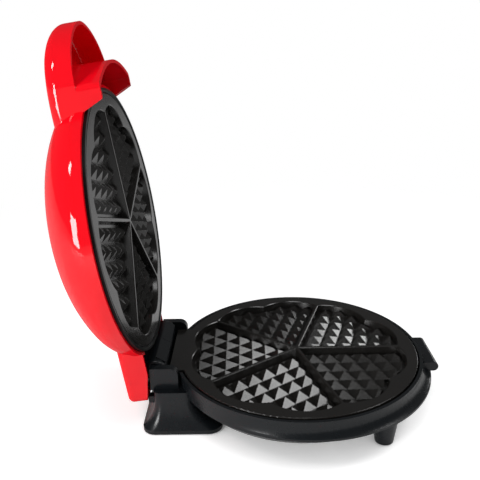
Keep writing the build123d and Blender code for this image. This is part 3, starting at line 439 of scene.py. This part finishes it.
class WAFFLE_OT_hinge(bpy.types.Operator):
    """Make the hinge's barrel, pin and bushes"""

    bl_idname = "waffle.hinge"
    bl_label = "Hinge"

    def execute(self, context):
        look = context.scene.waffle_look
        black = moulded_black("hinge_black", look.base_black, grain=2400.0, rough=0.3, gloss=0.35)
        moulding("hinge_barrel", "hinge_cover", black, look.plate_edge, look.edge_steps)
        dress(metal("pin_steel", (0.6, 0.6, 0.61), rough=0.3, scratch=700.0), "hinge_pin")
        dress(metal("bush_brass", (0.62, 0.5, 0.24), rough=0.3, scratch=500.0), "hinge_bushes")
        return {"FINISHED"}


class WAFFLE_OT_fittings(bpy.types.Operator):
    """Finish the screws, heaters, wires and other fittings"""

    bl_idname = "waffle.fittings"
    bl_label = "Fittings"

    def execute(self, context):
        plated = metal("screw_steel", (0.62, 0.61, 0.59), rough=0.32, scratch=900.0)
        dress(plated, "lower_plate_screws", "upper_plate_screws", "cover_screws", "liner_screws")
        sheath = metal("heater_steel", (0.3, 0.28, 0.26), rough=0.45, scratch=350.0)
        dress(sheath, "lower_heater", "upper_heater", "thermostat")
        sheet = metal("reflector_sheet", (0.78, 0.78, 0.79), rough=0.28, scratch=160.0)
        dress(sheet, "lower_reflector", "upper_reflector")
        plastic = soft("terminal_plastic", (0.78, 0.74, 0.64), grain=500.0, rough=0.6)
        dress(plastic, "terminal_block", "thermal_fuse", "lamp_holder")
        sleeve = soft("wire_sleeve", (0.72, 0.7, 0.66), grain=1500.0, rough=0.8)
        dress(sleeve, "base_wires", "lid_wires")
        dress(clear("power_red", (0.7, 0.03, 0.02)), "power_lens")
        dress(clear("ready_green", (0.03, 0.5, 0.08)), "ready_lens")
        return {"FINISHED"}


class WAFFLE_OT_stage(bpy.types.Operator):
    """Set up the floor, the lamps, the world and the camera"""

    bl_idname = "waffle.stage"
    bl_label = "Stage"

    def execute(self, context):
        stage_floor()
        stage_world(context)
        for lamp in LAMPS:
            softbox(context, *lamp)
        stage_camera(context)
        return {"FINISHED"}


def stage_floor():
    """A white floor that keeps the object's shadow, with a painted contact shadow: its glow is dimmed where the
    object is close.
    """
    shape = bmesh.new()
    bmesh.ops.create_grid(shape, x_segments=1, y_segments=1, size=FLOOR_HALF)
    f = finish("floor_white")
    paper = f.mix(f.noise(3.0), *(rgba(grey) for grey in FLOOR_GREYS))
    matt = f.node("ShaderNodeBsdfDiffuse", None, paper)
    # painted contact shadow: ambient occlusion dims the floor's glow under and near the object
    painted_shadow_ao = f.node("ShaderNodeAmbientOcclusion", {"samples": 8}, Distance=PAINTED_SHADOW_REACH, out="AO")
    outside_painted_shadow = f.eased(painted_shadow_ao, 0.0, PAINTED_SHADOW_OPEN)
    lit = f.node("ShaderNodeAddShader", None, matt, f.glow(f.rays(FLOOR_MIRRORED) * outside_painted_shadow * FLOOR_GLOW))
    away = f.node("ShaderNodeVectorMath", {"operation": "LENGTH"}, f.place(), out="Value")
    faded = f.eased(away, *FLOOR_FADE) * f.rays(FLOOR_MIRRORED)
    f.node("ShaderNodeOutputMaterial", None, f.node("ShaderNodeMixShader", None, faded, lit, f.glow(1.0)))
    as_piece(shape, "floor", f.owner)


def stage_world(context):
    """White behind the object, and a plain light from all round."""
    world = bpy.data.worlds.new("studio")
    context.scene.world = world
    f = Finish(world)
    strength = f.rays(WORLD_MIRRORED) + (1 - f.rays(1.0)) * WORLD_LIGHT
    f.node("ShaderNodeOutputWorld", None, f.node("ShaderNodeBackground", None, rgba(WHITE), strength))


def direction(azimuth, elevation):
    """The unit vector that points this way, in degrees."""
    level = cos(radians(elevation))
    return Vector((cos(radians(azimuth)) * level, sin(radians(azimuth)) * level, sin(radians(elevation))))


def softbox(context, name, azimuth, elevation, away, width, height, bright):
    """A soft lamp in this direction from the object, which it faces."""
    light = bpy.data.lights.new(name, "AREA")
    light.shape = "RECTANGLE"
    light.size = width
    light.size_y = height
    light.energy = bright * width * height * pi
    lamp = bpy.data.objects.new(name, light)
    out = direction(azimuth, elevation)
    turn = out.to_track_quat("Z", "Y")
    lamp.matrix_world = Matrix.Translation(LAMP_AIM + out * away) @ turn.to_matrix().to_4x4()
    context.scene.collection.objects.link(lamp)


def stage_camera(context):
    """The camera at the photograph's view."""
    plate = frame["nodes"]["lower_plate"].data.vertices
    middle = Vector((0, min(v.co.y for v in plate) + PLATE_R, max(v.co.z for v in plate)))
    ahead = direction(CAMERA_AZIMUTH, -CAMERA_ELEVATION)
    level = ahead.cross(Vector((0, 0, 1))).normalized()
    upright = level.cross(ahead)
    tilt_cos, tilt_sin = cos(radians(CAMERA_ROLL)), sin(radians(CAMERA_ROLL))
    right = level * tilt_cos + upright * tilt_sin
    up = upright * tilt_cos - level * tilt_sin
    data = bpy.data.cameras.new("camera")
    data.sensor_width = SENSOR
    data.lens = PHOTO_FOCAL / PHOTO_SIDE * SENSOR
    data.clip_start = NEAR_CLIP
    camera = bpy.data.objects.new("camera", data)
    turn = Matrix((right, up, -ahead)).transposed()
    camera.matrix_world = Matrix.Translation(middle + CAMERA_PLACE) @ turn.to_4x4()
    context.scene.collection.objects.link(camera)
    context.scene.camera = camera
    context.scene.view_settings.view_transform = "Standard"


class WAFFLE_PT_panel(bpy.types.Panel):
    """Lists the look's values and the pieces"""

    bl_idname = "WAFFLE_PT_panel"
    bl_label = "Waffle maker"
    bl_space_type = "VIEW_3D"
    bl_region_type = "UI"
    bl_category = "Waffle maker"

    def draw(self, context):
        layout = self.layout
        for name in WaffleLook.__annotations__:
            layout.prop(context.scene.waffle_look, name)
        for operator in OPERATORS:
            layout.operator(operator.bl_idname)


OPERATORS = (
    WAFFLE_OT_lid,
    WAFFLE_OT_plates,
    WAFFLE_OT_base,
    WAFFLE_OT_hinge,
    WAFFLE_OT_fittings,
    WAFFLE_OT_stage,
)
CLASSES = (WaffleLook, *OPERATORS, WAFFLE_PT_panel)


def register():
    """Makes the look, the operators and the panel known to Blender."""
    for cls in CLASSES:
        bpy.utils.register_class(cls)
    bpy.types.Scene.waffle_look = PointerProperty(type=WaffleLook)


def unregister():
    """Takes them out again."""
    del bpy.types.Scene.waffle_look
    for cls in reversed(CLASSES):
        bpy.utils.unregister_class(cls)


def main():
    """Makes every piece in order."""
    register()
    bpy.ops.waffle.lid()
    bpy.ops.waffle.plates()
    bpy.ops.waffle.base()
    bpy.ops.waffle.hinge()
    bpy.ops.waffle.fittings()
    bpy.ops.waffle.stage()


if __name__ == "__main__":
    main()
